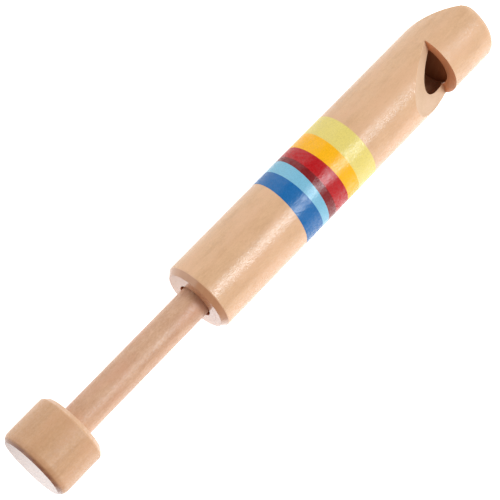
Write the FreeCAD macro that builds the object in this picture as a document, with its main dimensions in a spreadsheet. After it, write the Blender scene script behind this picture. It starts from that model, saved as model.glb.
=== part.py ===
import FreeCAD, Part
import os

import Sketcher

# A wooden slide whistle lying on its side: the barrel runs along +X to the mouth, the window that
# makes the sound faces +Z, and the pull knob is at the -X end. The barrel's foot face is the place
# that every piece is measured from. The origin is under the middle of the whole whistle, on the
# surface that it lies on.

doc = FreeCAD.newDocument("slide_whistle")
sheet = doc.addObject("Spreadsheet::Sheet", "dims")

DRIVING_SIZES = [
    # Barrel: a turned hardwood tube
    ("tube_diameter", 24.0),
    ("tube_length", 128.6),
    ("tube_wall", 3.8),
    ("foot_chamfer_length", 1.8),
    ("foot_chamfer_depth", 1.5),
    ("mouth_round", 3.2),
    # Beak: the slanting cut under the mouth end
    ("beak_slope", 40.0),
    ("beak_tip_thickness", 5.8),
    ("beak_edge_round", 0.6),
    # Window: a square wall facing the foot and a ramp that thins the tube to the lip
    ("wall_to_mouth", 20.0),
    ("window_depth", 8.2),
    ("ramp_slope", 24.5),
    # Fipple block: the plug that leaves the windway over its flat top
    ("windway_height", 1.5),
    ("block_setback", 0.8),
    ("voicing_chamfer", 0.4),
    ("glue_gap", 0.05),
    # Foot bush: the ring that guides the rod and keeps the piston in
    ("bush_length", 9.0),
    ("bush_wall", 2.4),
    ("bush_edge", 0.15),
    # Slide rod: a 10.3 mm dowel, which is what the bush's wall and the play leave room for
    ("rod_play", 0.6),
    ("rod_end_chamfer", 0.6),
    ("rod_drawn_out", 51.6),
    # Pull knob
    ("knob_diameter", 24.0),
    ("knob_length", 17.6),
    ("knob_chamfer", 1.5),
    ("knob_socket", 11.0),
    # Piston head
    ("piston_from_foot", 24.0),
    ("piston_length", 12.0),
    ("piston_clearance", 0.2),
    ("piston_socket", 6.0),
    ("piston_land", 1.5),
    ("piston_edge", 0.4),
    # Piston ring: a rubber ring that turns and seals with a running fit
    ("ring_thickness", 3.0),
    ("running_clearance", 0.05),
    # Piston screw: a countersunk wood screw up the middle of the head and rod
    ("screw_diameter", 3.0),
    ("screw_head_diameter", 5.6),
    ("screw_length", 14.0),
    ("screw_point", 3.0),
    ("slot_width", 0.8),
    ("slot_depth", 0.7),
    # How far each cutting outline runs past the wood
    ("overrun", 1.0),
]

for row, (alias, value) in enumerate(DRIVING_SIZES, start=1):
    sheet.set(f"A{row}", alias)
    sheet.set(f"B{row}", str(value))
    sheet.setAlias(f"B{row}", alias)
doc.recompute()

# Sizes that several pieces share, all measured along or from the barrel's axis
tube_radius = "dims.tube_diameter / 2"
bore_radius = "(dims.tube_diameter / 2 - dims.tube_wall)"
plug_radius = f"({bore_radius} - dims.glue_gap)"
bush_bore = f"({plug_radius} - dims.bush_wall)"
rod_radius = f"({bush_bore} - dims.rod_play)"
socket_radius = f"({rod_radius} + dims.glue_gap)"
wall_place = "(dims.tube_length - dims.wall_to_mouth)"
foot_place = "(dims.knob_length + dims.rod_drawn_out - dims.tube_length) / 2"
axis_height = "max(dims.tube_diameter; dims.knob_diameter) / 2"


def size_of(expression):
    """The number that a sheet expression stands for now."""
    return float(doc.dims.evalExpression(expression))


def new_body(label):
    """A sub-part, lying on the surface with its own zero at the barrel's foot."""
    body = doc.addObject("PartDesign::Body", label)
    body.Label = label
    return body


def lay_down(body, along):
    """Place a finished sub-part on the axis, a given way along it from the foot."""
    body.setExpression("Placement.Base.x", f"{foot_place} + {along}")
    body.setExpression("Placement.Base.z", axis_height)


def outline(body, name, corners):
    """A closed sketch of the piece seen from the side, whose corners follow the sheet."""
    sketch = body.newObject("Sketcher::SketchObject", name)
    plane = next(part for part in body.Origin.OriginFeatures if part.Role == "XZ_Plane")
    sketch.AttachmentSupport = (plane, "")
    sketch.MapMode = "FlatFace"
    points = [FreeCAD.Vector(size_of(across), size_of(up), 0) for across, up in corners]
    count = len(points)
    for index in range(count):
        sketch.addGeometry(Part.LineSegment(points[index], points[(index + 1) % count]))
    for index in range(count):
        sketch.addConstraint(Sketcher.Constraint("Coincident", index, 2, (index + 1) % count, 1))
    for index, (across, up) in enumerate(corners):
        for kind, expression in (("DistanceX", across), ("DistanceY", up)):
            value = size_of(expression)
            place = sketch.addConstraint(Sketcher.Constraint(kind, -1, 1, index, 1, value))
            sketch.setExpression(f"Constraints[{place}]", expression)
    return sketch


def turn(body, name, corners):
    """Turn a half outline about the axis, as on a lathe."""
    sketch = outline(body, f"{name}_outline", corners)
    turning = body.newObject("PartDesign::Revolution", name)
    turning.Profile = sketch
    turning.ReferenceAxis = (sketch, ["H_Axis"])
    turning.Angle = 360
    doc.recompute()


def must_cut(body, name, before):
    """Stop if the cut that was just made left the piece as it was."""
    if not body.Shape.Volume < before:
        raise RuntimeError(f"{name} took nothing away")


def drill(body, name, corners):
    """Take a half outline away all round the axis."""
    before = body.Shape.Volume
    sketch = outline(body, f"{name}_outline", corners)
    hole = body.newObject("PartDesign::Groove", name)
    hole.Profile = sketch
    hole.ReferenceAxis = (sketch, ["H_Axis"])
    hole.Angle = 360
    doc.recompute()
    must_cut(body, name, before)


def saw(body, name, corners):
    """Cut an outline, drawn from the side, straight through the piece both ways."""
    before = body.Shape.Volume
    cut = body.newObject("PartDesign::Pocket", name)
    cut.Profile = outline(body, f"{name}_outline", corners)
    cut.Type = "ThroughAll"
    cut.SideType = "Symmetric"
    doc.recompute()
    must_cut(body, name, before)


def round_over(body, name, radius, chosen):
    """Round the edges that a test picks."""
    names = [f"Edge{place}" for place, edge in enumerate(body.Shape.Edges, start=1) if chosen(edge)]
    if not names:
        raise RuntimeError(f"{name} found no edge")
    base = body.Tip
    rounding = body.newObject("PartDesign::Fillet", name)
    rounding.Base = (base, names)
    rounding.setExpression("Radius", radius)
    doc.recompute()


def samples(edge):
    """The two ends and the middle of an edge."""
    first, last = edge.ParameterRange
    return [edge.valueAt(first), edge.valueAt((first + last) / 2), edge.valueAt(last)]


# How closely an edge has to lie to where it is looked for, as a share of the tube's diameter
match_share = 1e-4


def close(one, other):
    """Whether two lengths are the same, as far as finding an edge goes."""
    return abs(one - other) < match_share * size_of("dims.tube_diameter")


def mouth_rim(edge):
    """A test for the round outer edge of the mouth end."""
    mouth = size_of("dims.tube_length")
    reach = size_of(tube_radius)
    return all(
        close(point.x, mouth) and close(FreeCAD.Vector(0, point.y, point.z).Length, reach)
        for point in samples(edge)
    )


# Beak and window cuts, drawn from the side
beak_tip = f"({tube_radius} - dims.beak_tip_thickness)"
beak_drop = f"({beak_tip} + {tube_radius} + dims.overrun)"
beak_outline = [
    ("dims.tube_length + dims.overrun", f"{beak_tip} + dims.overrun * tan(dims.beak_slope)"),
    (f"dims.tube_length - {beak_drop} / tan(dims.beak_slope)", f"-{tube_radius} - dims.overrun"),
    ("dims.tube_length + dims.overrun", f"-{tube_radius} - dims.overrun"),
]
ramp_rise = "(dims.window_depth + dims.overrun)"
window_outline = [
    (wall_place, f"{tube_radius} - dims.window_depth"),
    (wall_place, f"{tube_radius} + dims.overrun"),
    (f"{wall_place} - {ramp_rise} / tan(dims.ramp_slope)", f"{tube_radius} + dims.overrun"),
]


def beak_edge(edge):
    """A test for the edges that bound the slanting face under the mouth."""
    rise = size_of("tan(dims.beak_slope)")
    mouth = size_of("dims.tube_length")
    tip = size_of(beak_tip)
    return all(close(point.z, tip - (mouth - point.x) * rise) for point in samples(edge))


def beak_tip_edge(edge):
    """A test for the one of those edges that lies across the mouth end."""
    return beak_edge(edge) and all(
        close(point.x, size_of("dims.tube_length")) for point in samples(edge)
    )


# Barrel: turned and drilled from one length of dowel, then sawn for the beak and the window
barrel = new_body("barrel")
turn(barrel, "barrel_turning", [
    ("0", "0"),
    ("0", f"{tube_radius} - dims.foot_chamfer_depth"),
    ("dims.foot_chamfer_length", tube_radius),
    ("dims.tube_length", tube_radius),
    ("dims.tube_length", "0"),
])
round_over(barrel, "mouth_rounding", "dims.mouth_round", mouth_rim)
saw(barrel, "beak_cut", beak_outline)
round_over(barrel, "beak_rounding", "dims.beak_edge_round", beak_edge)
drill(barrel, "bore", [
    ("-dims.overrun", "0"),
    ("-dims.overrun", bore_radius),
    ("dims.tube_length + dims.overrun", bore_radius),
    ("dims.tube_length + dims.overrun", "0"),
])
saw(barrel, "window", window_outline)
lay_down(barrel, "0")

# Fipple block: a dowel plug with a flat planed along its top, glued in the mouth and cut with the beak
block_start = f"({wall_place} + dims.block_setback)"
windway_floor = f"({bore_radius} - dims.windway_height)"
fipple_block = new_body("fipple_block")
turn(fipple_block, "block_turning", [
    (block_start, "0"),
    (block_start, plug_radius),
    ("dims.tube_length", plug_radius),
    ("dims.tube_length", "0"),
])
saw(fipple_block, "block_beak_cut", beak_outline)
round_over(fipple_block, "block_beak_rounding", "dims.beak_edge_round", beak_tip_edge)
saw(fipple_block, "windway", [
    (f"{block_start} - dims.overrun", f"{windway_floor} - dims.voicing_chamfer - dims.overrun"),
    (f"{block_start} + dims.voicing_chamfer", windway_floor),
    ("dims.tube_length + dims.overrun", windway_floor),
    ("dims.tube_length + dims.overrun", f"{bore_radius} + dims.overrun"),
    (f"{block_start} - dims.overrun", f"{bore_radius} + dims.overrun"),
])
lay_down(fipple_block, "0")

# Foot bush: a ring glued into the foot, with a loose hole that the rod runs in
foot_bush = new_body("foot_bush")
turn(foot_bush, "bush_turning", [
    ("0", f"{bush_bore} + dims.bush_edge"),
    ("0", f"{plug_radius} - dims.bush_edge"),
    ("dims.bush_edge", plug_radius),
    ("dims.bush_length", plug_radius),
    ("dims.bush_length", bush_bore),
    ("dims.bush_edge", bush_bore),
])
lay_down(foot_bush, "0")

# Slide rod: a plain dowel, glued into the knob at one end and the piston head at the other
rod_start = "(-dims.rod_drawn_out - dims.knob_socket)"
rod_length = "(dims.rod_drawn_out + dims.knob_socket + dims.piston_from_foot + dims.piston_socket)"
screw_hole_radius = "(dims.screw_diameter / 2 + dims.glue_gap)"
screw_in_rod = "(dims.screw_length + dims.glue_gap - dims.piston_length + dims.piston_socket)"
slide_rod = new_body("slide_rod")
turn(slide_rod, "rod_turning", [
    ("0", "0"),
    ("0", f"{rod_radius} - dims.rod_end_chamfer"),
    ("dims.rod_end_chamfer", rod_radius),
    (f"{rod_length} - dims.rod_end_chamfer", rod_radius),
    (rod_length, f"{rod_radius} - dims.rod_end_chamfer"),
    (rod_length, "0"),
])
drill(slide_rod, "rod_screw_hole", [
    (f"{rod_length} - {screw_in_rod}", "0"),
    (f"{rod_length} - {screw_in_rod} + dims.screw_point", screw_hole_radius),
    (f"{rod_length} + dims.overrun", screw_hole_radius),
    (f"{rod_length} + dims.overrun", "0"),
])
lay_down(slide_rod, rod_start)

# Pull knob: a short turned cylinder, chamfered at both ends, with a blind socket for the rod
knob_radius = "dims.knob_diameter / 2"
pull_knob = new_body("pull_knob")
turn(pull_knob, "knob_turning", [
    ("0", "0"),
    ("0", f"{knob_radius} - dims.knob_chamfer"),
    ("dims.knob_chamfer", knob_radius),
    ("dims.knob_length - dims.knob_chamfer", knob_radius),
    ("dims.knob_length", f"{knob_radius} - dims.knob_chamfer"),
    ("dims.knob_length", "0"),
])
drill(pull_knob, "knob_rod_socket", [
    ("dims.knob_length - dims.knob_socket - dims.glue_gap", "0"),
    ("dims.knob_length - dims.knob_socket - dims.glue_gap", socket_radius),
    ("dims.knob_length + dims.overrun", socket_radius),
    ("dims.knob_length + dims.overrun", "0"),
])
lay_down(pull_knob, "-dims.rod_drawn_out - dims.knob_length")

# Piston head: a turned wooden plug on the rod's inner end, grooved for the ring
piston_radius = f"({bore_radius} - dims.piston_clearance)"
groove_end = "(dims.piston_length - dims.piston_land)"
groove_start = f"({groove_end} - dims.ring_thickness - 2 * dims.running_clearance)"
groove_floor = f"({bore_radius} - dims.ring_thickness - 2 * dims.running_clearance)"
screw_head_radius = "dims.screw_head_diameter / 2"
screw_cone = f"({screw_head_radius} - dims.screw_diameter / 2)"
piston_head = new_body("piston_head")
turn(piston_head, "piston_turning", [
    ("0", "0"),
    ("0", f"{piston_radius} - dims.piston_edge"),
    ("dims.piston_edge", piston_radius),
    (groove_start, piston_radius),
    (groove_start, groove_floor),
    (groove_end, groove_floor),
    (groove_end, piston_radius),
    ("dims.piston_length - dims.piston_edge", piston_radius),
    ("dims.piston_length", f"{piston_radius} - dims.piston_edge"),
    ("dims.piston_length", "0"),
])
drill(piston_head, "piston_rod_socket", [
    ("-dims.overrun", "0"),
    ("-dims.overrun", socket_radius),
    ("dims.piston_socket + dims.glue_gap", socket_radius),
    ("dims.piston_socket + dims.glue_gap", "0"),
])
drill(piston_head, "piston_screw_hole", [
    ("0", "0"),
    ("0", screw_hole_radius),
    (f"dims.piston_length - {screw_cone}", screw_hole_radius),
    ("dims.piston_length", f"{screw_head_radius} + dims.glue_gap"),
    ("dims.piston_length + dims.overrun", f"{screw_head_radius} + dims.glue_gap"),
    ("dims.piston_length + dims.overrun", "0"),
])
lay_down(piston_head, "dims.piston_from_foot")

# Piston ring: a round rubber ring in the groove, free to turn, that seals on the bore
ring_middle = f"(dims.piston_from_foot + ({groove_start} + {groove_end}) / 2)"
piston_ring = doc.addObject("Part::Torus", "piston_ring")
piston_ring.Label = "piston_ring"
piston_ring.setExpression("Radius2", "dims.ring_thickness / 2")
piston_ring.setExpression(
    "Radius1", f"{bore_radius} - dims.running_clearance - dims.ring_thickness / 2"
)
piston_ring.Placement.Rotation = FreeCAD.Rotation(FreeCAD.Vector(0, 1, 0), 90)
lay_down(piston_ring, ring_middle)

# Piston screw: countersunk and slotted, driven through the head into the end of the rod
piston_screw = new_body("piston_screw")
turn(piston_screw, "screw_turning", [
    ("0", "0"),
    ("dims.screw_point", "dims.screw_diameter / 2"),
    (f"dims.screw_length - {screw_cone}", "dims.screw_diameter / 2"),
    ("dims.screw_length", screw_head_radius),
    ("dims.screw_length", "0"),
])
saw(piston_screw, "screw_slot", [
    ("dims.screw_length - dims.slot_depth", "-dims.slot_width / 2"),
    ("dims.screw_length - dims.slot_depth", "dims.slot_width / 2"),
    ("dims.screw_length + dims.overrun", "dims.slot_width / 2"),
    ("dims.screw_length + dims.overrun", "-dims.slot_width / 2"),
])
lay_down(piston_screw, "dims.piston_from_foot + dims.piston_length - dims.screw_length")

# Write each piece, once every step of the model has worked
doc.recompute()
for item in doc.Objects:
    if "Invalid" in item.State or "Error" in item.State:
        raise RuntimeError(f"{item.Label} failed: {item.State}")

PIECES = [barrel, fipple_block, foot_bush, slide_rod, pull_knob, piston_head, piston_ring, piston_screw]
os.makedirs("parts", exist_ok=True)
for piece in PIECES:
    if piece.Shape.isNull() or not piece.Shape.isValid():
        raise RuntimeError(f"{piece.Label} has no sound shape")
for piece in PIECES:
    piece.Shape.exportStep(f"parts/{piece.Label}.step")
    print(f"{piece.Label}: {piece.Shape.Volume:.1f} mm3")
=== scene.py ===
import math
import random

import bmesh
import bpy
from mathutils import Matrix, Quaternion, Vector


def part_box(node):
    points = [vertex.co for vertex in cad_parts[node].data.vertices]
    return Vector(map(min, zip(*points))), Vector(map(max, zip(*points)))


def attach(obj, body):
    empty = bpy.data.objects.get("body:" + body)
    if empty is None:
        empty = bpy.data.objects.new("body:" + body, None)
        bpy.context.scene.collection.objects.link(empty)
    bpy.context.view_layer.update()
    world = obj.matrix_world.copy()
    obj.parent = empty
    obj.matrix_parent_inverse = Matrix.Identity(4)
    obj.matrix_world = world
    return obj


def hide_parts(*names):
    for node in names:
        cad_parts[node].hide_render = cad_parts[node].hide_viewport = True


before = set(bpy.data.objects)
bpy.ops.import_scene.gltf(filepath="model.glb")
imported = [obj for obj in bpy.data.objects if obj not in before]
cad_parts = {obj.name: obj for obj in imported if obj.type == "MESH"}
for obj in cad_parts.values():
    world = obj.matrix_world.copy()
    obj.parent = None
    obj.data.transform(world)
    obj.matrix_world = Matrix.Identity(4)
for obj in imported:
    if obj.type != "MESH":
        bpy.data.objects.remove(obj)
bpy.context.view_layer.update()

# Barrel. A tube of pale beech, turned from one dowel and drilled right through, with a slanting beak sawn
# under the mouth end and a V-shaped sound window sawn in the top. Sandpaper eases its rims and its cuts,
# rings of coloured lacquer are brushed on as it turns, and clear lacquer goes over everything.
mm = 0.001
barrel_low, barrel_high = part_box("barrel")
bush_low, bush_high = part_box("foot_bush")
block_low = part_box("fipple_block")[0]
axis_height = (barrel_low.z + barrel_high.z) / 2
tube_radius = (barrel_high.z - barrel_low.z) / 2
glue_gap = 0.05 * mm
bore_radius = (bush_high.z - bush_low.z) / 2 + glue_gap
lacquer_film = 0.03 * mm
wood_radius = tube_radius - lacquer_film
foot = barrel_low.x
mouth = barrel_high.x
foot_chamfer = Vector((1.8, 1.5)) * mm
foot_rim_round = 0.3 * mm
foot_bore_round = 0.06 * mm
chamfer_round = 0.6 * mm
mouth_round = 3.2 * mm
block_setback = 0.8 * mm
window_wall = block_low.x - block_setback
window_depth = 8.2 * mm
window_edge_round = 0.1 * mm
unsanded_tip = 0.6 * mm
unsanded_rim = 1.0 * mm
ramp_slope = math.radians(24.5)
beak_slope = math.radians(40.0)
beak_tip_thickness = 5.8 * mm
beak_edge_round = 0.3 * mm
sawing_overrun = 2.0 * mm
touching = 0.01 * mm
same_edge = 0.001 * mm
bore_skin = 0.05 * mm
foot_face = 0.1 * mm
same_place = 1e-7
no_area = 1e-14
blunt_angle = math.radians(12)


def eased(corners, steps=6):
    """A half outline as a list of points, with each corner (along, out, radius) rounded to its radius."""
    points = []
    for index, (along, out, radius) in enumerate(corners):
        corner = Vector((along, out))
        if radius == 0:
            points.append(corner)
            continue
        back = (Vector(corners[index - 1][:2]) - corner).normalized()
        ahead = (Vector(corners[(index + 1) % len(corners)][:2]) - corner).normalized()
        half_angle = back.angle(ahead) / 2
        centre = corner + (back + ahead).normalized() * (radius / math.sin(half_angle))
        first = corner + back * (radius / math.tan(half_angle)) - centre
        last = corner + ahead * (radius / math.tan(half_angle)) - centre
        for step in range(steps + 1):
            points.append(centre + first.slerp(last, step / steps).normalized() * radius)
    return points


def piece_from(name, shape):
    """Make a mesh under construction into a piece of the scene."""
    mesh = bpy.data.meshes.new(name)
    shape.to_mesh(mesh)
    shape.free()
    piece = bpy.data.objects.new(name, mesh)
    bpy.context.scene.collection.objects.link(piece)
    return piece


def turned(name, points, sides=180):
    """A piece turned on the lathe: a half outline swept round the whistle's axis."""
    shape = bmesh.new()
    rows = []
    for side in range(sides):
        angle = math.tau * side / sides
        across, up = math.sin(angle), math.cos(angle)
        rows.append([shape.verts.new((p.x, p.y * across, axis_height + p.y * up)) for p in points])
    for side in range(sides):
        row, following = rows[side], rows[(side + 1) % sides]
        for index in range(len(points)):
            ahead = (index + 1) % len(points)
            shape.faces.new((row[index], row[ahead], following[ahead], following[index]))
    bmesh.ops.remove_doubles(shape, verts=shape.verts, dist=same_place)
    flat = [face for face in shape.faces if face.calc_area() < no_area]
    bmesh.ops.delete(shape, geom=flat, context="FACES")
    bmesh.ops.delete(shape, geom=[edge for edge in shape.edges if edge.is_wire], context="EDGES")
    bmesh.ops.recalc_face_normals(shape, faces=shape.faces)
    return piece_from(name, shape)


def saw_away(piece, corners):
    """Cut an outline, drawn from the side as (along, up) corners, straight across a piece."""
    reach = 2 * tube_radius
    shape = bmesh.new()
    near = [shape.verts.new((along, -reach, axis_height + up)) for along, up in corners]
    far = [shape.verts.new((along, reach, axis_height + up)) for along, up in corners]
    shape.faces.new(near)
    shape.faces.new(far)
    for index in range(len(corners)):
        ahead = (index + 1) % len(corners)
        shape.faces.new((near[index], near[ahead], far[ahead], far[index]))
    bmesh.ops.recalc_face_normals(shape, faces=shape.faces)
    cutter = piece_from("cutter", shape)
    cut = piece.modifiers.new("cut", "BOOLEAN")
    cut.operation = "DIFFERENCE"
    cut.solver = "EXACT"
    cut.object = cutter
    bpy.context.view_layer.update()
    result = bpy.data.meshes.new_from_object(piece.evaluated_get(bpy.context.evaluated_depsgraph_get()))
    piece.modifiers.clear()
    piece.data = result
    bpy.data.objects.remove(cutter)


def soften(piece, width, steps, chosen):
    """Round over the edges of a piece whose middle a test picks. Edges too short to round go first."""
    shape = bmesh.new()
    shape.from_mesh(piece.data)

    def picked():
        return [
            edge for edge in shape.edges
            if len(edge.link_faces) == 2
            and edge.calc_face_angle() > blunt_angle
            and chosen((edge.verts[0].co + edge.verts[1].co) / 2)
        ]

    bmesh.ops.collapse(shape, edges=[edge for edge in picked() if edge.calc_length() < width / 2])
    bmesh.ops.bevel(
        shape, geom=picked(), offset=width, offset_type="OFFSET", segments=steps, profile=0.5,
        affect="EDGES", clamp_overlap=False, material=-1,
    )
    shape.to_mesh(piece.data)
    shape.free()


def smoothed(piece, angle=50):
    """Shade a piece smoothly, with its large faces flat and its edges sharper than an angle crisp."""
    for face in piece.data.polygons:
        face.use_smooth = True
    piece.data.set_sharp_from_angle(angle=math.radians(angle))
    weighted = piece.modifiers.new("even_shading", "WEIGHTED_NORMAL")
    weighted.keep_sharp = True


# Where the rings of lacquer begin and end, measured from the foot: blue, sky blue, dark red, red, amber and
# straw. The brush is held by hand, so each edge runs out of true by its own tilt. A positive one leans
# towards the mouth on the leaning side.
ring_edges = [edge * mm for edge in (37.8, 44.1, 48.0, 50.6, 55.6, 61.4, 69.3)]
ring_tilts = [0.068, -0.015, 0.075, 0.02, -0.041, 0.016, 0.012]
leaning_side = Vector((0, 0.718, -0.696))

barrel = turned("barrel_turned", eased([
    (foot, bore_radius, foot_bore_round),
    (foot, wood_radius - foot_chamfer.y, foot_rim_round),
    (foot + foot_chamfer.x, wood_radius, chamfer_round),
    (foot + ring_edges[0], wood_radius, 0),
    *[(foot + edge, tube_radius, 0) for edge in ring_edges],
    (foot + ring_edges[-1], wood_radius, 0),
    (mouth, wood_radius, mouth_round),
    (mouth, bore_radius, 0),
], steps=8))
beak_tip = tube_radius - beak_tip_thickness
beak_rise = sawing_overrun * math.tan(beak_slope)
beak_drop = beak_tip + tube_radius + sawing_overrun
beak_cut = [
    (mouth + sawing_overrun, beak_tip + beak_rise),
    (mouth - beak_drop / math.tan(beak_slope), -tube_radius - sawing_overrun),
    (mouth + sawing_overrun, -tube_radius - sawing_overrun),
]
ramp_foot = tube_radius - window_depth
window_cut = [
    (window_wall, ramp_foot),
    (window_wall, tube_radius + sawing_overrun),
    (window_wall - (window_depth + sawing_overrun) / math.tan(ramp_slope), tube_radius + sawing_overrun),
]


def from_axis(point):
    """How far a point lies from the whistle's axis."""
    return math.hypot(point.y, point.z - axis_height)


def on_beak(point):
    """Whether a point lies in the slanting plane of the beak."""
    up = beak_tip - (mouth - point.x) * math.tan(beak_slope)
    return abs(point.z - axis_height - up) < touching


def on_ramp(point):
    """Whether a point lies in the slanting plane of the window."""
    up = ramp_foot + (window_wall - point.x) * math.tan(ramp_slope)
    return abs(point.z - axis_height - up) < touching and point.x < window_wall + touching


def on_wall(point):
    """Whether a point lies in the upright wall of the window."""
    return abs(point.x - window_wall) < touching and point.z > axis_height


def beak_sanded(middle):
    """Whether sandpaper reached an edge of the beak: its outer edge, but not the one round the bore."""
    return on_beak(middle) and from_axis(middle) > bore_radius + unsanded_rim


saw_away(barrel, beak_cut)
soften(barrel, beak_edge_round, steps=3, chosen=beak_sanded)
saw_away(barrel, window_cut)


def linear(code):
    """An sRGB hex colour as linear light, with full cover."""
    shares = [int(code[place:place + 2], 16) / 255 for place in (0, 2, 4)]
    return [s / 12.92 if s <= 0.04045 else ((s + 0.055) / 1.055) ** 2.4 for s in shares] + [1.0]


def add(tree, kind, inputs=(), **settings):
    """Add a shader node with its settings. Values and other nodes' outputs fill its inputs, a list the first
    ones in their order and a dictionary those that it names."""
    node = tree.nodes.new("ShaderNode" + kind)
    for name, value in settings.items():
        setattr(node, name, value)
    for key, value in inputs.items() if isinstance(inputs, dict) else enumerate(inputs):
        if isinstance(value, bpy.types.NodeSocket):
            tree.links.new(value, node.inputs[key])
        else:
            node.inputs[key].default_value = value
    return node


def finish(name):
    """An empty material, with its tree, its surface and the place on the piece in millimetres."""
    material = bpy.data.materials.new(name)
    material.use_nodes = True
    tree = material.node_tree
    tree.nodes.clear()
    surface = add(tree, "BsdfPrincipled")
    add(tree, "OutputMaterial", {"Surface": surface.outputs[0]})
    where = add(tree, "TexCoord").outputs["Object"]
    place = add(tree, "VectorMath", {0: where, "Scale": 1 / mm}, operation="SCALE").outputs[0]
    return material, tree, surface, place


def streaks(tree, place, size, detail, seed):
    """Soft noise whose patches have a size in millimetres (along, across, up); 0 to 1 about 0.5."""
    shares = [1 / length for length in size]
    stretched = add(tree, "VectorMath", [place, shares], operation="MULTIPLY").outputs[0]
    return add(tree, "TexNoise", {
        "Vector": stretched, "W": seed, "Scale": 1.0, "Detail": detail,
    }, noise_dimensions="4D").outputs["Fac"]


# Two settings that come again: a range is spread smoothly, and colours are mixed. A mixing node takes its
# share on input 0 and its two colours on inputs 6 and 7, and gives the mixture on output 2.
smoothly = {"interpolation_type": "SMOOTHSTEP"}
in_colour = {"data_type": "RGBA"}

# Clear lacquer raises the ends of the fibres into pimples about a third of a millimetre wide, which the
# render just shows. The film is thinner in the dips between them.
most_noise = (0.3, 0.7)
lacquer_ior = 1.5
pimple_size = (0.45, 0.32, 0.32)
pimple_height = 0.05 * mm
dip_size = (0.45, 0.35, 0.35)
dip_edge = (0.42, 0.58)
dip_loss = 0.6


def lacquered(tree, surface, place, seed, roughness, ripple=1.0, weight=1.0):
    """Clear satin lacquer. It gives the eye a soft gloss that breaks up into sparks on raised fibres."""
    surface.inputs["Coat Roughness"].default_value = roughness
    surface.inputs["Coat IOR"].default_value = lacquer_ior
    thinnest = weight * (1 - dip_loss * min(1.0, ripple))
    dips = streaks(tree, place, dip_size, 1.0, seed + 0.5)
    film = add(tree, "MapRange", [dips, *dip_edge, thinnest, weight], **smoothly).outputs[0]
    tree.links.new(film, surface.inputs["Coat Weight"])
    pimples = streaks(tree, place, pimple_size, 0.0, seed)
    skin = add(tree, "Bump", {"Height": pimples, "Strength": ripple, "Distance": pimple_height}).outputs[0]
    tree.links.new(skin, surface.inputs["Coat Normal"])


# What shows in beech, in millimetres along, across and up. Growth rings, rays, clouds and pinkish patches
# have their real sizes, and the rings wander, because no trunk is quite straight. Real fibres are 0.02 wide
# and pores 0.08, too fine for the render, so both are drawn 0.6 wide. A pair of numbers is the stretch of
# noise or slant over which a feature comes in, and a share is how strongly it shows.
growth_ring = 3.4
ring_stretch = (0.06, 1.0, 1.0)
wander_pace = (0.025, 0.06, 0.06)
wander_reach = (0.0, 12.0, 12.0)
fibre_size = (2.6, 0.6, 0.6)
cloud_size = (9.0, 3.5, 3.5)
ray_size = (1.4, 0.35, 0.35)
patch_size = (16.0, 6.0, 6.0)
pore_size = (0.9, 0.6, 0.6)
late_wood = (0.35, 0.92)
ray_edge = (0.58, 0.72)
patch_edge = (0.42, 0.66)
end_slant = (0.46, 0.72)
late_share, fibre_share, cloud_share, pore_share, pimple_share = 0.16, 0.22, 0.34, 0.18, 0.12
ray_share = 0.3
blush_share = 0.85
end_ring_share = 0.25
bare_roughness = 0.5
pore_strength = 0.4
pore_depth = 0.02 * mm


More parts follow.
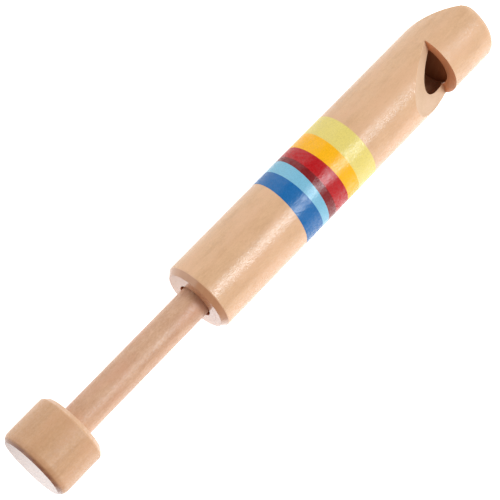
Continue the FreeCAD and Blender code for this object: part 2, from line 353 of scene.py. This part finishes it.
def beech(name, pale, deep, blush, end, pith, seed, gloss=0.2, ripple=1.0, coat=1.0, under=0.1):
    """Beech, bare or lacquered. It gives the eye pale wood with long faint bands, short darker flecks and
    pinkish patches, and a browner face with rings where it is cut square to the grain."""
    material, tree, surface, place = finish(name)
    slowly = add(tree, "VectorMath", [place, wander_pace], operation="MULTIPLY").outputs[0]
    drift = add(tree, "TexNoise", {
        "Vector": slowly, "Scale": 1.0, "Detail": 2.0, "W": seed,
    }, noise_dimensions="4D").outputs["Color"]
    wander = add(tree, "VectorMath", [drift, wander_reach], operation="MULTIPLY").outputs[0]
    moved = add(tree, "VectorMath", [place, wander], operation="ADD").outputs[0]
    from_pith = add(tree, "VectorMath", [moved, pith], operation="SUBTRACT").outputs[0]
    flattened = add(tree, "VectorMath", [from_pith, ring_stretch], operation="MULTIPLY").outputs[0]
    distance = add(tree, "VectorMath", [flattened], operation="LENGTH").outputs["Value"]
    year = add(tree, "Math", [distance, growth_ring], operation="DIVIDE").outputs[0]
    part_of_year = add(tree, "Math", [year], operation="FRACT").outputs[0]
    late = add(tree, "MapRange", [part_of_year, *late_wood], **smoothly).outputs[0]
    fibre = streaks(tree, place, fibre_size, 3.0, seed + 1)
    cloud = streaks(tree, place, cloud_size, 3.0, seed + 2)
    ray = streaks(tree, place, ray_size, 1.0, seed + 3)
    ray = add(tree, "MapRange", [ray, *ray_edge], **smoothly).outputs[0]
    patch = streaks(tree, place, patch_size, 3.0, seed + 4)
    patch = add(tree, "MapRange", [patch, *patch_edge, 0.0, blush_share], **smoothly).outputs[0]
    pimples = streaks(tree, place, pimple_size, 0.0, seed + 5)
    pore = streaks(tree, place, pore_size, 2.0, seed + 6)
    depth = add(tree, "Math", [late, late_share], operation="MULTIPLY").outputs[0]
    for noise, share in (
        (fibre, fibre_share), (cloud, cloud_share), (pore, pore_share), (pimples, pimple_share),
    ):
        tone = add(tree, "MapRange", [noise, *most_noise], **smoothly).outputs[0]
        depth = add(tree, "Math", [tone, share, depth], operation="MULTIPLY_ADD").outputs[0]
    grain = add(tree, "Mix", {0: depth, 6: linear(pale), 7: linear(deep)}, **in_colour).outputs[2]
    warmed = add(tree, "Mix", {0: patch, 6: grain, 7: linear(blush)}, **in_colour).outputs[2]
    ray_depth = add(tree, "Math", [ray, ray_share], operation="MULTIPLY").outputs[0]
    flecked = add(tree, "Mix", {0: ray_depth, 6: warmed, 7: linear(deep)}, **in_colour).outputs[2]
    facing = add(tree, "SeparateXYZ", [add(tree, "TexCoord").outputs["Normal"]]).outputs["X"]
    squareness = add(tree, "Math", [facing], operation="ABSOLUTE").outputs[0]
    end_share = add(tree, "MapRange", [squareness, *end_slant], **smoothly).outputs[0]
    late_depth = add(tree, "Math", [late, end_ring_share], operation="MULTIPLY").outputs[0]
    ringed = add(tree, "Mix", {0: late_depth, 6: linear(end), 7: linear(deep)}, **in_colour).outputs[2]
    colour = add(tree, "Mix", {0: end_share, 6: flecked, 7: ringed}, **in_colour).outputs[2]
    tree.links.new(colour, surface.inputs["Base Color"])
    surface.inputs["Roughness"].default_value = bare_roughness
    surface.inputs["Specular IOR Level"].default_value = under
    height = add(tree, "Math", [fibre, ray], operation="SUBTRACT").outputs[0]
    bump = add(tree, "Bump", {"Height": height, "Strength": pore_strength, "Distance": pore_depth})
    tree.links.new(bump.outputs[0], surface.inputs["Normal"])
    if coat > 0:
        lacquered(tree, surface, place, seed + 5, gloss, ripple, coat)
    return material


# The barrel's beech. Its pith lay below the dowel and to one side, at a place in millimetres, so the growth
# rings run along it as faint bands.
barrel_tones = {"pale": "dfb790", "deep": "c79d76", "blush": "dbb08b"}
barrel_grain = {"pith": (0.0, 34.0, -28.0), "seed": 1.0}

# Turned beech under satin lacquer. It gives the eye pale, even, warm wood and a bright line of sparks.
barrel_beech = beech("beech_satin_lacquer", **barrel_tones, end="b58258", **barrel_grain, gloss=0.2)

# End grain, lacquered and sanded flat. It drinks more lacquer, so it gives the eye a browner, smooth face.
foot_beech = beech("beech_end_grain_lacquer", **barrel_tones, end="b5835e", **barrel_grain, gloss=0.08,
                   ripple=0.02, under=0.5)

# Sawn beech with a thin coat. It gives the eye a dull face, pinkish where it is square to the grain.
cut_beech = beech("beech_sawn", pale="d4b292", deep="c09d7c", blush="d0ae90", end="e0a47a", **barrel_grain,
                  gloss=0.35, ripple=0.4, coat=0.3)

# The beak, sanded after sawing and lacquered. It gives the eye a smooth face, duller than the side.
beak_beech = beech("beech_beak_sanded", pale="d8b492", deep="c29c78", blush="d4ac88", end="c0936c",
                   **barrel_grain, gloss=0.25, ripple=0.6)

# Drilled beech, left bare. It gives the eye a dull brown that goes dark inside the window.
bore_beech = beech("beech_drilled", pale="d29e7c", deep="b07a58", blush="ba8460", end="a06a4a",
                   **barrel_grain, coat=0.0)

# Coloured lacquer thins on top of each pimple, where it is this much lighter. The pimples are the barrel's
# own, so they have the seed that its beech gives them.
thin_gain = 1.1
thin_lift = 0.006
ring_roughness = 0.4
barrel_pimples = barrel_grain["seed"] + 5


def ring_lacquer(name, code):
    """Coloured lacquer under the clear coat. It gives the eye flat strong colour with a fine pale grain."""
    material, tree, surface, place = finish(name)
    pimples = streaks(tree, place, pimple_size, 0.0, barrel_pimples)
    colour = linear(code)
    thin = [min(1.0, c * thin_gain + thin_lift) for c in colour[:3]] + [1.0]
    thinness = add(tree, "MapRange", [pimples, *most_noise], **smoothly).outputs[0]
    uneven = add(tree, "Mix", {0: thinness, 6: colour, 7: thin}, **in_colour).outputs[2]
    tree.links.new(uneven, surface.inputs["Base Color"])
    surface.inputs["Roughness"].default_value = ring_roughness
    surface.inputs["Specular IOR Level"].default_value = 0.0
    lacquered(tree, surface, place, barrel_pimples, roughness=0.2, ripple=1.1)
    return material


ring_lacquers = [ring_lacquer(name, code) for name, code in (
    ("blue_lacquer", "1062a0"), ("sky_blue_lacquer", "76b2cb"), ("dark_red_lacquer", "760a10"),
    ("red_lacquer", "ae0710"), ("amber_lacquer", "efae02"), ("straw_lacquer", "dac96e"),
)]


def barrel_finish(middle):
    """The finish that a face of the barrel has, from the face's middle."""
    from_foot = middle.x - foot
    if abs(from_axis(middle) - bore_radius) < bore_skin and middle.x > foot + foot_face:
        return bore_beech
    if on_beak(middle):
        return beak_beech
    if on_ramp(middle) or on_wall(middle):
        return cut_beech
    if from_axis(middle) > wood_radius - touching and ring_edges[0] < from_foot < ring_edges[-1]:
        return ring_lacquers[sum(from_foot > edge for edge in ring_edges) - 1]
    return foot_beech if from_foot < foot_chamfer.x else barrel_beech


barrel_finishes = [barrel_beech, foot_beech, cut_beech, bore_beech, *ring_lacquers, beak_beech]
for material in barrel_finishes:
    barrel.data.materials.append(material)
for face in barrel.data.polygons:
    face.material_index = barrel_finishes.index(barrel_finish(face.center))
for corner in barrel.data.vertices:
    for edge, tilt in zip(ring_edges, ring_tilts):
        if abs(corner.co.x - foot - edge) < same_edge:
            corner.co.x += tilt * (corner.co - Vector((0, 0, axis_height))).dot(leaning_side)
            break
window_tips = [
    Vector((window_wall, side * math.sqrt(wood_radius ** 2 - ramp_foot ** 2), axis_height + ramp_foot))
    for side in (-1, 1)
]


def window_sanded(middle):
    """Whether sandpaper reached an edge of the window: not at its tips, its inner corner or the bore."""
    at_tip = min((middle - tip).length for tip in window_tips) <= unsanded_tip
    if at_tip or on_ramp(middle) == on_wall(middle):
        return False
    return on_ramp(middle) or from_axis(middle) > bore_radius + unsanded_rim


soften(barrel, window_edge_round, steps=2, chosen=window_sanded)
smoothed(barrel)
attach(barrel, "tube_assembly")
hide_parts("barrel")

# Foot bush. A ring of the same beech, glued into the foot and sanded flush with it, so that the joint is
# hardly seen. Its hole is looser than the rod and its rim is eased.
bush_bore = 5.75 * mm
bush_rim_round = 0.25 * mm
bush_joint_round = 0.04 * mm
# How far out from the hole the painted shade reaches.
painted_shade_depth = 0.2 * mm
glued_radius = bore_radius - 0.01 * mm
bush = turned("foot_bush_turned", eased([
    (bush_low.x, bush_bore, bush_rim_round),
    (bush_low.x, glued_radius, bush_joint_round),
    (bush_high.x, glued_radius, 0),
    (bush_high.x, bush_bore, 0),
], steps=5))

# The bush's hole and the inner part of its rim, coloured a deep reddish brown as painted shade: the shade
# that falls in the hole round the rod.
hole_painted_shade_beech = beech("beech_hole_painted_shade", pale="b87348", deep="9a5530", blush="a85c38", end="a8623a",
                     **barrel_grain, coat=0.0)
bush.data.materials.append(foot_beech)
bush.data.materials.append(hole_painted_shade_beech)
for face in bush.data.polygons:
    # Faces in the hole and close round it take the painted shade.
    face.material_index = int(from_axis(face.center) < bush_bore + painted_shade_depth)
smoothed(bush)
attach(bush, "tube_assembly")
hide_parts("foot_bush")

# Fipple block. A beech plug with a flat planed along its top, glued in the mouth and sawn with the beak.
# The flat leaves the windway, which leads the breath to the window.
windway_height = 1.5 * mm
windway_floor = bore_radius - windway_height
voicing_chamfer = 0.4 * mm
block = turned("fipple_block_turned", eased([
    (block_low.x, 0, 0),
    (block_low.x, glued_radius, 0),
    (mouth, glued_radius, 0),
    (mouth, 0, 0),
]))
saw_away(block, beak_cut)
saw_away(block, [
    (block_low.x - sawing_overrun, windway_floor - voicing_chamfer - sawing_overrun),
    (block_low.x + voicing_chamfer, windway_floor),
    (mouth + sawing_overrun, windway_floor),
    (mouth + sawing_overrun, bore_radius + sawing_overrun),
    (block_low.x - sawing_overrun, bore_radius + sawing_overrun),
])

# Beech sawn off square and left bare, its end grain coloured dark brown as painted shade: the shade that
# falls on the block's face down in the window.
block_painted_shade_beech = beech("beech_block_painted_shade", pale="cea27a", deep="ae845e", blush="be946e", end="9b6949",
                    pith=barrel_grain["pith"], seed=3.0, coat=0.0)
block.data.materials.append(block_painted_shade_beech)
block.data.materials.append(beak_beech)
for face in block.data.polygons:
    face.material_index = int(on_beak(face.center))
smoothed(block, angle=30)
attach(block, "tube_assembly")
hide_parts("fipple_block")

# Torn fibres. Where the saw left the window's wall, a few pale fibres of the beech stand into the hole.
# Each is a three-sided splinter that tapers and curls up. Its size is drawn from spans in millimetres.
fibre_count = 9
fibre_steps = 4
fibre_sides = 3
lowest_fibre, fibre_spread = 0.1, 1.5
fibre_reach = ((-0.9, -0.3), (0.4, 0.9), (-0.1, 0.3))
fibre_growth = (0.6, 1.1)
fibre_width = (0.12, 0.2)
fibre_taper = 0.7
fibre_slant = 0.5
fibre_root = 0.1 * mm
fibre_curl = Vector((0, 0, 0.15 * mm))
fibre_turns = [math.tau * side / fibre_sides for side in range(fibre_sides)]
chance = random.Random(4)
shape = bmesh.new()
for number in range(fibre_count):
    up = ramp_foot + (lowest_fibre + fibre_spread * number / (fibre_count - 1)) * mm
    start = Vector((window_wall, -math.sqrt(bore_radius ** 2 - up ** 2) - fibre_root, axis_height + up))
    reach = Vector([chance.uniform(*span) for span in fibre_reach]) * mm
    reach *= chance.uniform(*fibre_growth)
    width = chance.uniform(*fibre_width) * mm
    rows = []
    for step in range(fibre_steps + 1):
        share = step / fibre_steps
        centre = start + reach * share + fibre_curl * share * share
        size = width * (1 - fibre_taper * share)
        rows.append([
            shape.verts.new(
                centre + Vector((fibre_slant * math.cos(turn), math.cos(turn), math.sin(turn))) * size)
            for turn in fibre_turns
        ])
    for row, following in zip(rows, rows[1:]):
        for index in range(fibre_sides):
            ahead = (index + 1) % fibre_sides
            shape.faces.new((row[index], row[ahead], following[ahead], following[index]))
    shape.faces.new(rows[0])
    shape.faces.new(rows[-1])
bmesh.ops.recalc_face_normals(shape, faces=shape.faces)
fibres = piece_from("torn_fibres", shape)

# Torn beech, left bare. It gives the eye a few nearly white flecks against the dark hole.
torn_beech = beech("beech_torn", pale="f4e8da", deep="eadac6", blush="f0e0d0", end="f4e8da",
                   pith=barrel_grain["pith"], seed=2.0, coat=0.0)
fibres.data.materials.append(torn_beech)
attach(fibres, "tube_assembly")

# Slide rod. A plain beech dowel with satin lacquer, glued into the knob at one end and into the piston
# head at the other. Its ends are chamfered, and a hole up its inner end takes the piston's screw.
rod_low, rod_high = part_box("slide_rod")
rod_radius = (rod_high.z - rod_low.z) / 2
rod_end_chamfer = 0.6 * mm
screw_low, screw_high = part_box("piston_screw")
screw_point = 3.0 * mm
screw_core = 1.55 * mm
rod = turned("slide_rod_turned", eased([
    (rod_low.x, 0, 0),
    (rod_low.x, rod_radius - rod_end_chamfer, 0),
    (rod_low.x + rod_end_chamfer, rod_radius, 0),
    (rod_high.x - rod_end_chamfer, rod_radius, 0),
    (rod_high.x, rod_radius - rod_end_chamfer, 0),
    (rod_high.x, screw_core, 0),
    (screw_low.x + screw_point, screw_core, 0),
    (screw_low.x, 0, 0),
]), sides=128)

# A lacquered dowel, less finely sanded than the barrel. It gives the eye tanned wood with a broken shine.
rod_beech = beech("dowel_satin_lacquer", pale="d8b191", deep="b88a6a", blush="ce9e80", end="a0714e",
                  pith=(0.0, 20.0, 30.0), seed=11.0, gloss=0.32, ripple=1.4)
rod.data.materials.append(rod_beech)
smoothed(rod, angle=30)
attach(rod, "plunger")
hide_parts("slide_rod")

# Pull knob. A short cylinder of beech, turned and sanded, with both rims chamfered and then eased, and a
# blind socket for the rod. The wood is a little darker than the barrel's.
knob_low, knob_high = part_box("pull_knob")
knob_radius = (knob_high.z - knob_low.z) / 2
knob_chamfer = 1.5 * mm
knob_rounds = [0.35 * mm, 3.0 * mm, 1.0 * mm, 0.6 * mm, 0.1 * mm]
knob_face_depth = 0.6 * mm
socket_radius = rod_radius + 0.02 * mm
knob = turned("pull_knob_turned", eased([
    (knob_low.x, 0, 0),
    (knob_low.x, knob_radius - knob_chamfer, knob_rounds[0]),
    (knob_low.x + knob_chamfer, knob_radius, knob_rounds[1]),
    (knob_high.x - knob_chamfer, knob_radius, knob_rounds[2]),
    (knob_high.x, knob_radius - knob_chamfer, knob_rounds[3]),
    (knob_high.x, socket_radius, knob_rounds[4]),
    (rod_low.x - glue_gap, socket_radius, 0),
    (rod_low.x - glue_gap, 0, 0),
], steps=8))
knob_tones = {"pale": "d2a881", "deep": "bb8f68", "blush": "cc9d77"}
knob_grain = {"pith": (0.0, -26.0, 30.0), "seed": 21.0}

# The knob's side, turned and lacquered. It gives the eye tanned wood with a wide soft shine.
knob_beech = beech("knob_satin_lacquer", **knob_tones, end="94684a", **knob_grain, gloss=0.38)

# The knob's sawn face, sanded flat and lacquered. It gives the eye dark end grain with a clear shine.
knob_end_beech = beech("knob_end_grain_lacquer", **knob_tones, end="8c6452", **knob_grain, gloss=0.09,
                       ripple=0.02, coat=0.75)

# The inner rim and face, coloured paler than the knob's other end grain as painted light: the light that
# falls on the knob's mouth side. It gives the eye a pale edge next to the rod.
knob_rim_painted_light_beech = beech("knob_rim_painted_light", **knob_tones, end="d0a887", **knob_grain, gloss=0.3)
for material in (knob_beech, knob_end_beech, knob_rim_painted_light_beech):
    knob.data.materials.append(material)
for face in knob.data.polygons:
    if face.center.x < knob_low.x + knob_face_depth:
        face.material_index = 1
    # The chamfer and face on the mouth side take the painted light.
    elif face.center.x > knob_high.x - knob_chamfer:
        face.material_index = 2
smoothed(knob)
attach(knob, "plunger")
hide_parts("pull_knob")

# Piston head. A beech plug, turned and barely sealed, that fills the bore with a little play. A groove
# round it holds the rubber ring, and a countersunk hole takes the screw.
head_low, head_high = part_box("piston_head")
rubber_low, rubber_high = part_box("piston_ring")
piston_radius = (head_high.z - head_low.z) / 2
piston_edge = 0.4 * mm
piston_edge_round = 0.3 * mm
piston_rim_round = 0.15 * mm
piston_land = 1.5 * mm
running_clearance = 0.05 * mm
rubber_thickness = rubber_high.x - rubber_low.x
groove_end = head_high.x - piston_land
groove_start = groove_end - rubber_thickness - 2 * running_clearance
groove_floor = bore_radius - rubber_thickness - 2 * running_clearance
groove_round = 0.2 * mm
screw_head_radius = (screw_high.z - screw_low.z) / 2
screw_radius = 1.5 * mm
countersink_round = 0.05 * mm
socket_bottom = rod_high.x + glue_gap
head = turned("piston_head_turned", eased([
    (head_low.x, socket_radius, 0),
    (head_low.x, piston_radius - piston_edge, piston_rim_round),
    (head_low.x + piston_edge, piston_radius, piston_edge_round),
    (groove_start, piston_radius, piston_rim_round),
    (groove_start, groove_floor, groove_round),
    (groove_end, groove_floor, groove_round),
    (groove_end, piston_radius, piston_rim_round),
    (head_high.x - piston_edge, piston_radius, piston_edge_round),
    (head_high.x, piston_radius - piston_edge, piston_rim_round),
    (head_high.x, screw_head_radius + glue_gap, countersink_round),
    (head_high.x - screw_head_radius + screw_radius, screw_core, 0),
    (socket_bottom, screw_core, 0),
    (socket_bottom, socket_radius, 0),
], steps=5), sides=120)

# Turned beech with a wipe of sealer. It gives the eye matt brown wood with hardly any shine.
head_beech = beech("beech_bare_turned", pale="cda17a", deep="a97c55", blush="bd9170", end="a07450",
                   pith=(0.0, 3.0, -4.0), seed=31.0, gloss=0.6, ripple=0.6, coat=0.15)
head.data.materials.append(head_beech)
smoothed(head, angle=30)
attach(head, "plunger")
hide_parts("piston_head")

# Piston ring. A moulded ring of black rubber with a round section, greased, and with the fine seam that
# the two halves of the mould leave round it.
seam_height = 0.04 * mm
seam_share = 0.06
section_steps = 48
rubber_centre = (rubber_low.x + rubber_high.x) / 2
rubber_section = rubber_thickness / 2 - seam_height
rubber_middle = (rubber_high.z - rubber_low.z) / 2 - rubber_thickness / 2
section_points = []
for step in range(section_steps):
    turn = math.tau * step / section_steps
    from_seam = abs(math.remainder(turn - math.pi / 2, math.pi)) / math.tau
    reach = rubber_section + seam_height * max(0.0, 1 - from_seam / seam_share)
    section_points.append(Vector((
        rubber_centre + reach * math.cos(turn), rubber_middle + reach * math.sin(turn),
    )))
rubber_ring = turned("piston_ring_moulded", section_points, sides=120)

# Moulded rubber with a smear of grease. It gives the eye matt black with softly shining patches. The
# mould's skin has a grit of about 0.05 mm, drawn here at 0.2 mm so that it shows.
smear_size = (1.5, 1.5, 1.5)
smear_edge = (0.35, 0.65)
smear_roughness = (0.38, 0.62)
mould_grit = (0.2, 0.2, 0.2)
mould_depth = 0.02 * mm
greased_rubber, tree, surface, place = finish("rubber_matt_greased")
smear = streaks(tree, place, smear_size, 3.0, 41.0)
surface.inputs["IOR"].default_value = 1.52
dulled = add(tree, "MapRange", [smear, *smear_edge, *smear_roughness], **smoothly).outputs[0]
tree.links.new(dulled, surface.inputs["Roughness"])
greased = add(tree, "MapRange", [smear, *most_noise], **smoothly).outputs[0]
black = add(tree, "Mix", {0: greased, 6: linear("1a1a1b"), 7: linear("26262a")}, **in_colour).outputs[2]
tree.links.new(black, surface.inputs["Base Color"])
grit = streaks(tree, place, mould_grit, 3.0, 42.0)
skin = add(tree, "Bump", {"Height": grit, "Strength": 0.5, "Distance": mould_depth})
tree.links.new(skin.outputs[0], surface.inputs["Normal"])
rubber_ring.data.materials.append(greased_rubber)
smoothed(rubber_ring)
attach(rubber_ring, "sliding_ring")
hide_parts("piston_ring")

# Piston screw. A zinc-plated countersunk wood screw with one slot and a rolled thread, driven flush into
# the piston head.
thread_pitch = 1.35 * mm
thread_depth = 0.35 * mm
crest_share = 0.22
plain_shank = 2.5 * mm
thread_runout = (0.1 * mm, 0.3 * mm)
head_bottom = screw_high.x - screw_head_radius + screw_radius
thread_end = head_high.x - screw_head_radius + screw_radius - plain_shank
slot_width = 0.8 * mm
slot_depth = 0.7 * mm
head_rim = 0.25 * mm
rim_chamfer = 0.1 * mm
around = 48
along = 160
shape = bmesh.new()


def screw_corner(x, radius, side):
    """A new corner of the screw's shape, at a place along it, a radius and a side."""
    turn = math.tau * side / around
    return shape.verts.new((x, radius * math.sin(turn), axis_height + radius * math.cos(turn)))


def threaded(x, share_round):
    """The screw's radius where it has its point and thread, which fades out towards the shank."""
    share = ((x - screw_low.x) / thread_pitch - share_round) % 1.0
    crest = max(0.0, 1 - abs(share - 0.5) / crest_share)
    tapered = min(1.0, (x - screw_low.x) / screw_point)
    fading = min(1.0, (thread_end - x) / thread_pitch)
    return (screw_radius - thread_depth + thread_depth * crest * fading) * tapered


rounds = []
for row in range(along + 1):
    x = screw_low.x + (thread_end - screw_low.x) * row / along
    rounds.append([screw_corner(x, threaded(x, side / around), side) for side in range(around)])
for x, radius in (
    (thread_end + thread_runout[0], screw_radius - thread_depth),
    (thread_end + thread_runout[1], screw_radius),
    (head_bottom, screw_radius),
    (screw_high.x - head_rim, screw_head_radius - head_rim),
    (screw_high.x - rim_chamfer, screw_head_radius),
    (screw_high.x, screw_head_radius - rim_chamfer),
):
    rounds.append([screw_corner(x, radius, side) for side in range(around)])
for corners, following in zip(rounds, rounds[1:]):
    for side in range(around):
        ahead = (side + 1) % around
        shape.faces.new((corners[side], corners[ahead], following[ahead], following[side]))
shape.faces.new(rounds[-1])
bmesh.ops.remove_doubles(shape, verts=shape.verts, dist=same_place)
bmesh.ops.recalc_face_normals(shape, faces=shape.faces)
screw = piece_from("piston_screw_threaded", shape)
saw_away(screw, [
    (screw_high.x - slot_depth, -slot_width / 2),
    (screw_high.x - slot_depth, slot_width / 2),
    (screw_high.x + sawing_overrun, slot_width / 2),
    (screw_high.x + sawing_overrun, -slot_width / 2),
])

# Bright zinc plating on steel. It gives the eye pale grey metal, clouded where fingers dulled it.
bloom_size = (0.8, 0.8, 0.8)
bloom_edge = (0.35, 0.65)
zinc_roughness = (0.22, 0.42)
bright_zinc, tree, surface, place = finish("zinc_bright_plating")
bloom = streaks(tree, place, bloom_size, 4.0, 51.0)
surface.inputs["Metallic"].default_value = 1.0
dulled = add(tree, "MapRange", [bloom, *most_noise, *zinc_roughness], **smoothly).outputs[0]
tree.links.new(dulled, surface.inputs["Roughness"])
bloomed = add(tree, "MapRange", [bloom, *bloom_edge], **smoothly).outputs[0]
grey = add(tree, "Mix", {0: bloomed, 6: linear("c9cdd2"), 7: linear("b4b8bb")}, **in_colour).outputs[2]
tree.links.new(grey, surface.inputs["Base Color"])
screw.data.materials.append(bright_zinc)
smoothed(screw, angle=30)
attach(screw, "plunger")
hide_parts("piston_screw")

# Floor and light. The whistle lies on white acrylic lit from below, more strongly behind it, so there is no
# shadow. A strip softbox above draws the bright line along it and a wide one lights its back. The room is
# brightest behind the mouth end, and a wooden wall past the knob throws warm light.
floor_reach = 30.0
floor_depth = (12.0, -16.0)
floor_strength = (1.06, 1.5)
floor_mesh = bpy.data.meshes.new("floor")
floor_mesh.from_pydata([
    (-floor_reach, -floor_reach, 0), (floor_reach, -floor_reach, 0),
    (floor_reach, floor_reach, 0), (-floor_reach, floor_reach, 0),
], [], [(0, 1, 2, 3)])
floor = bpy.data.objects.new("floor", floor_mesh)
bpy.context.scene.collection.objects.link(floor)

# White acrylic lit from below. It gives the eye a plain white ground with no edge and no shine.
acrylic, tree, surface, place = finish("white_acrylic_lit_from_below")
surface.inputs["Base Color"].default_value = (0.25, 0.25, 0.25, 1.0)
surface.inputs["Roughness"].default_value = 0.9
surface.inputs["Specular IOR Level"].default_value = 0.0
surface.inputs["Emission Color"].default_value = linear("ffffff")
depth = add(tree, "SeparateXYZ", [place]).outputs["Y"]
glow = add(tree, "MapRange", [depth, *floor_depth, *floor_strength], **smoothly).outputs[0]
tree.links.new(glow, surface.inputs["Emission Strength"])
floor.data.materials.append(acrylic)

room_strength = (0.15, 1.0)
room_turn = (-0.6, 0.8)
bright_side = (0.72, -0.55, 0.43)
wall_side = (-1.0, 0.0, 0.1)
wall_turn = (0.2, 0.9)
wall_strength = 0.4
room = bpy.data.worlds.new("white_room")
room.use_nodes = True
tree = room.node_tree
background = tree.nodes["Background"]
towards = add(tree, "TexCoord").outputs["Generated"]
turned_to = add(tree, "VectorMath", [towards, bright_side], operation="DOT_PRODUCT").outputs["Value"]
strength = add(tree, "MapRange", [turned_to, *room_turn, *room_strength], **smoothly).outputs[0]
to_wall = add(tree, "VectorMath", [towards, wall_side], operation="DOT_PRODUCT").outputs["Value"]
warmth = add(tree, "MapRange", [to_wall, *wall_turn], **smoothly).outputs[0]
lit = add(tree, "Math", [warmth, wall_strength, strength], operation="MULTIPLY_ADD").outputs[0]
tree.links.new(lit, background.inputs["Strength"])
warm_white = add(tree, "Mix", {0: warmth, 6: linear("ffffff"), 7: linear("d07a48")}, **in_colour).outputs[2]
tree.links.new(warm_white, background.inputs["Color"])
bpy.context.scene.world = room
bpy.context.scene.view_settings.view_transform = "Standard"


def softbox(name, towards, distance, along, across, power, colour=(1, 1, 1)):
    """A flat rectangular light that faces the whistle, with its long side in line with it."""
    lamp = bpy.data.lights.new(name, "AREA")
    lamp.shape = "RECTANGLE"
    lamp.size = along
    lamp.size_y = across
    lamp.energy = power
    lamp.color = colour
    light = bpy.data.objects.new(name, lamp)
    back = Vector(towards).normalized()
    right = (Vector((1, 0, 0)) - back * back.x).normalized()
    up = back.cross(right)
    place = Vector((0, 0, axis_height)) + back * distance
    light.matrix_world = Matrix((
        (right.x, up.x, back.x, place.x),
        (right.y, up.y, back.y, place.y),
        (right.z, up.z, back.z, place.z),
        (0, 0, 0, 1),
    ))
    light.visible_camera = False
    bpy.context.scene.collection.objects.link(light)


softbox("strip_softbox", towards=(0.32, 0.31, 0.89), distance=1.0, along=0.32, across=0.46, power=5.2,
        colour=(0.88, 0.95, 1.0))
softbox("back_softbox", towards=(0.26, -0.85, 0.42), distance=1.0, along=0.9, across=0.8, power=2.6)

# Camera. It stands where the photograph was taken from, with a long lens about half a metre away.
camera_place = Vector((-169.2, 350.1, 374.5)) * mm
camera_aim = Vector((-6.0, -1.6, 12.0)) * mm
camera_roll = math.radians(116.69)
camera = bpy.data.objects.new("camera", bpy.data.cameras.new("camera"))
camera.data.lens = 126.68
camera.data.sensor_width = 36.0
camera.location = camera_place
camera.rotation_mode = "QUATERNION"
level = (camera_aim - camera_place).to_track_quat("-Z", "Y")
camera.rotation_quaternion = level @ Quaternion((0, 0, 1), camera_roll)
bpy.context.scene.collection.objects.link(camera)
bpy.context.scene.camera = camera

bpy.context.view_layer.update()
